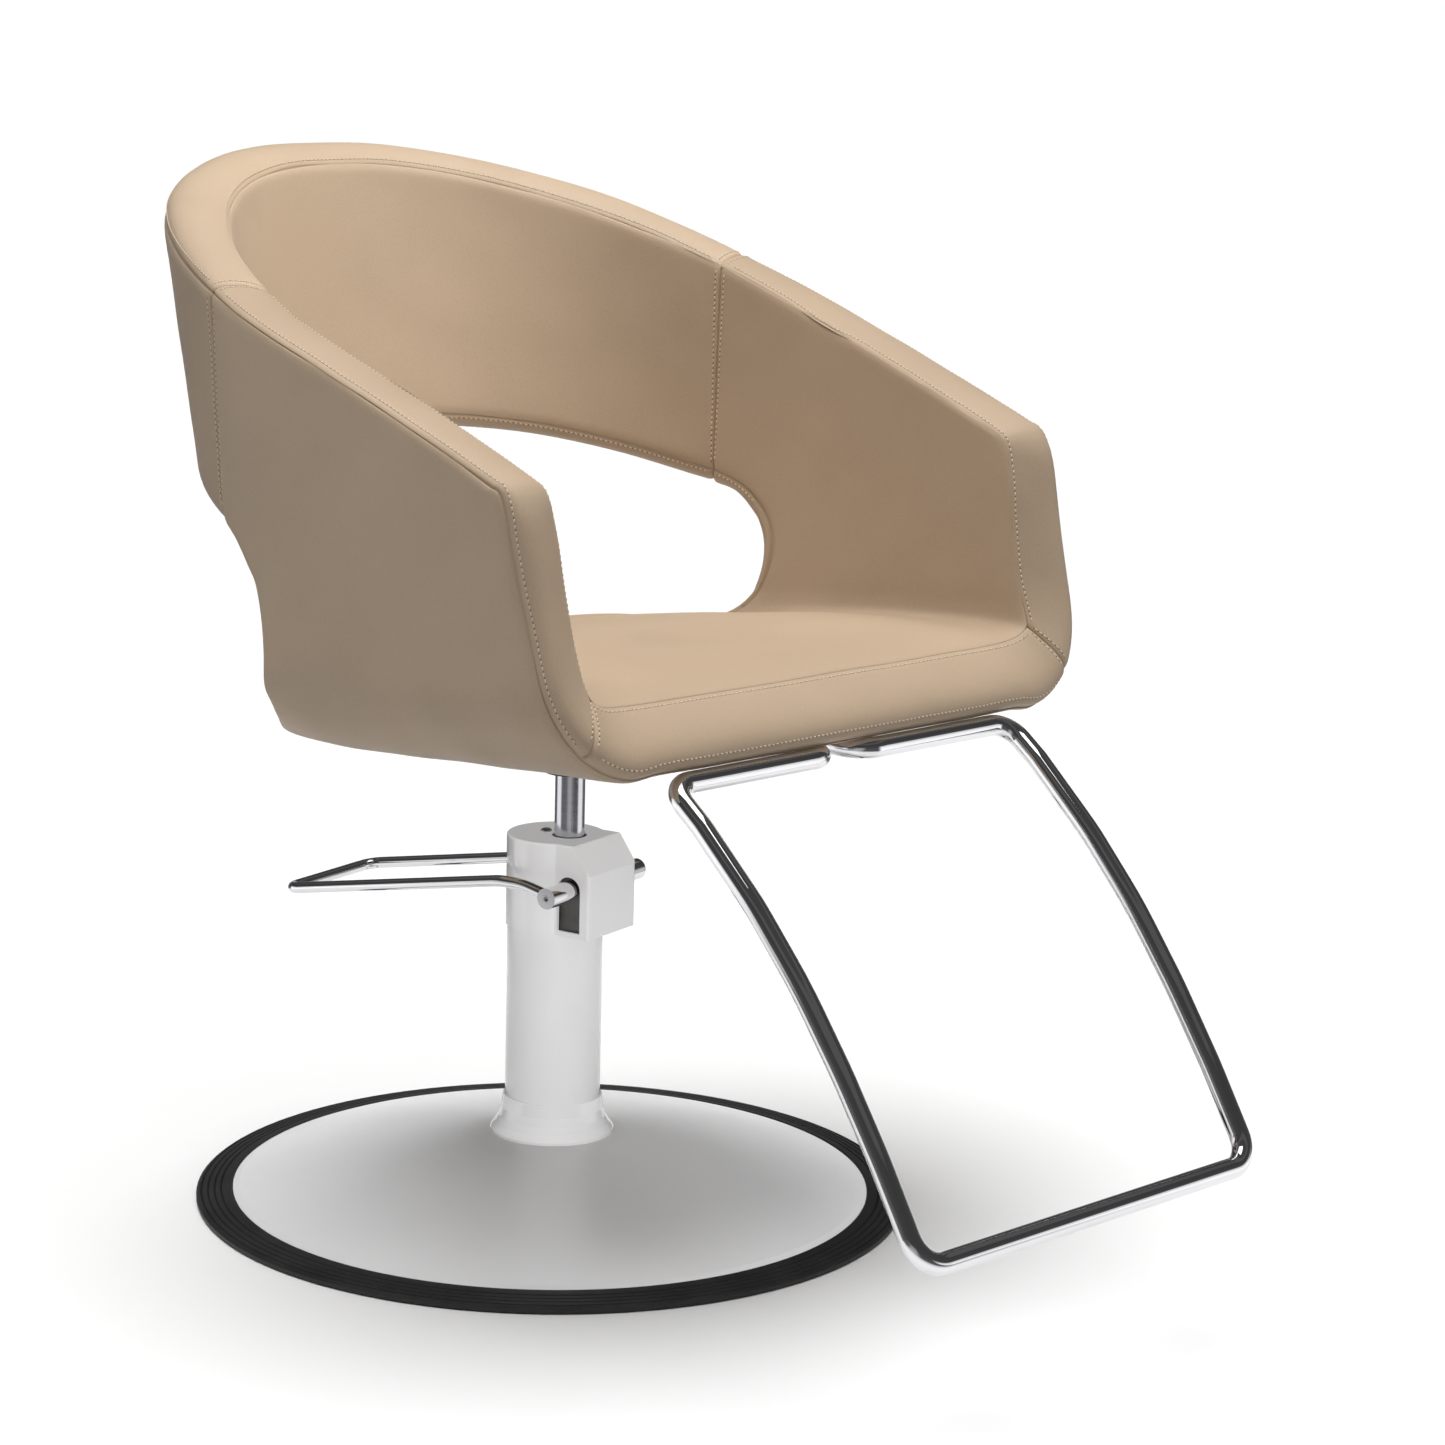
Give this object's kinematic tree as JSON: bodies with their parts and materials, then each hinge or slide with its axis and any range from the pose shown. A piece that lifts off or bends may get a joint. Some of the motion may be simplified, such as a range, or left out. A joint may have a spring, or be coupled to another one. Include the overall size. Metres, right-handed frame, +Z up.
{
  "type": "hydraulic styling chair",
  "caption": "Salon styling chair: upholstered tub seat with open lower back, swivelling on a hydraulic foot-pumped column with round base and tube footrest.",
  "frame": {"origin": "on the floor, at the underside of the base plate, directly under the piston axis about which the seat swivels", "axes": "+Z up, -Y the way the sitter faces, +X to the sitter's left; X=0 is the symmetry plane of the seat"},
  "size_m": [0.61, 0.966, 0.8841],
  "materials": {
    "leather": "smooth tan upholstery leather, semi-matt",
    "plywood": "raw beech plywood",
    "white_paint": "gloss white stoved paint",
    "dish_paint": "satin white lacquer",
    "black_rubber": "matt black moulded rubber",
    "chrome": "bright chrome plate",
    "rod_steel": "ground hard-chromed rod",
    "plate_steel": "black powder coat",
    "casting": "dark machined casting",
    "zinc_steel": "zinc plated fasteners",
    "spring_steel": "spring wire"
  },
  "bodies": {
    "base": {"base_plate": "plate_steel", "rubber_rim": "black_rubber", "base_dish": "dish_paint", "pump_flange": "plate_steel", "base_bolts": "zinc_steel", "base_nuts": "zinc_steel", "column_jacket": "white_paint", "column_collar": "white_paint", "pump_cylinder": "rod_steel", "pump_head_casting": "casting", "head_cover": "white_paint", "cover_screw": "zinc_steel", "rod_wiper": "black_rubber", "plunger_spring": "spring_steel"},
    "lever": {"cross_shaft": "rod_steel", "pump_lever": "chrome", "shaft_screws": "zinc_steel", "pump_crank": "casting"},
    "plunger": {"pump_plunger": "rod_steel"},
    "lift": {"piston_head": "casting", "piston_seal": "black_rubber"},
    "seat": {"piston_rod": "rod_steel", "seat_hub": "plate_steel", "seat_plate": "plate_steel", "plate_bolts": "zinc_steel", "seat_board": "plywood", "seat_cushion": "leather", "side_core_left": "plywood", "side_core_right": "plywood", "side_pad_left": "leather", "side_pad_right": "leather", "back_core": "plywood", "back_pad": "leather", "footrest_tube": "chrome", "footrest_clamp": "plate_steel", "clamp_bolts": "zinc_steel"}
  },
  "joints": [
    {"name": "seat_lift", "type": "slide", "parent": "base", "child": "lift", "axis": [0, 0, 1], "range_m": [-0.04, 0.11]},
    {"name": "seat_swivel", "type": "hinge", "parent": "lift", "child": "seat", "pos_m": [0, 0, 0.3], "axis": [0, 0, 1], "continuous": true},
    {"name": "pump_lever_hinge", "type": "hinge", "parent": "base", "child": "lever", "pos_m": [0.0053, -0.02392, 0.281], "axis": [-0.9763, -0.2164, 0], "range_deg": [0, 20], "stiffness_Nm_per_rad": 8, "springref_deg": -20.05},
    {"name": "plunger_slide", "type": "slide", "parent": "base", "child": "plunger", "axis": [0, 0, -1], "range_m": [0, 0.0056], "deforming": ["plunger_spring"]}
  ],
  "couplings": [
    {"joint": "plunger_slide", "follows": "pump_lever_hinge", "m_per_rad": 0.0156}
  ]
}
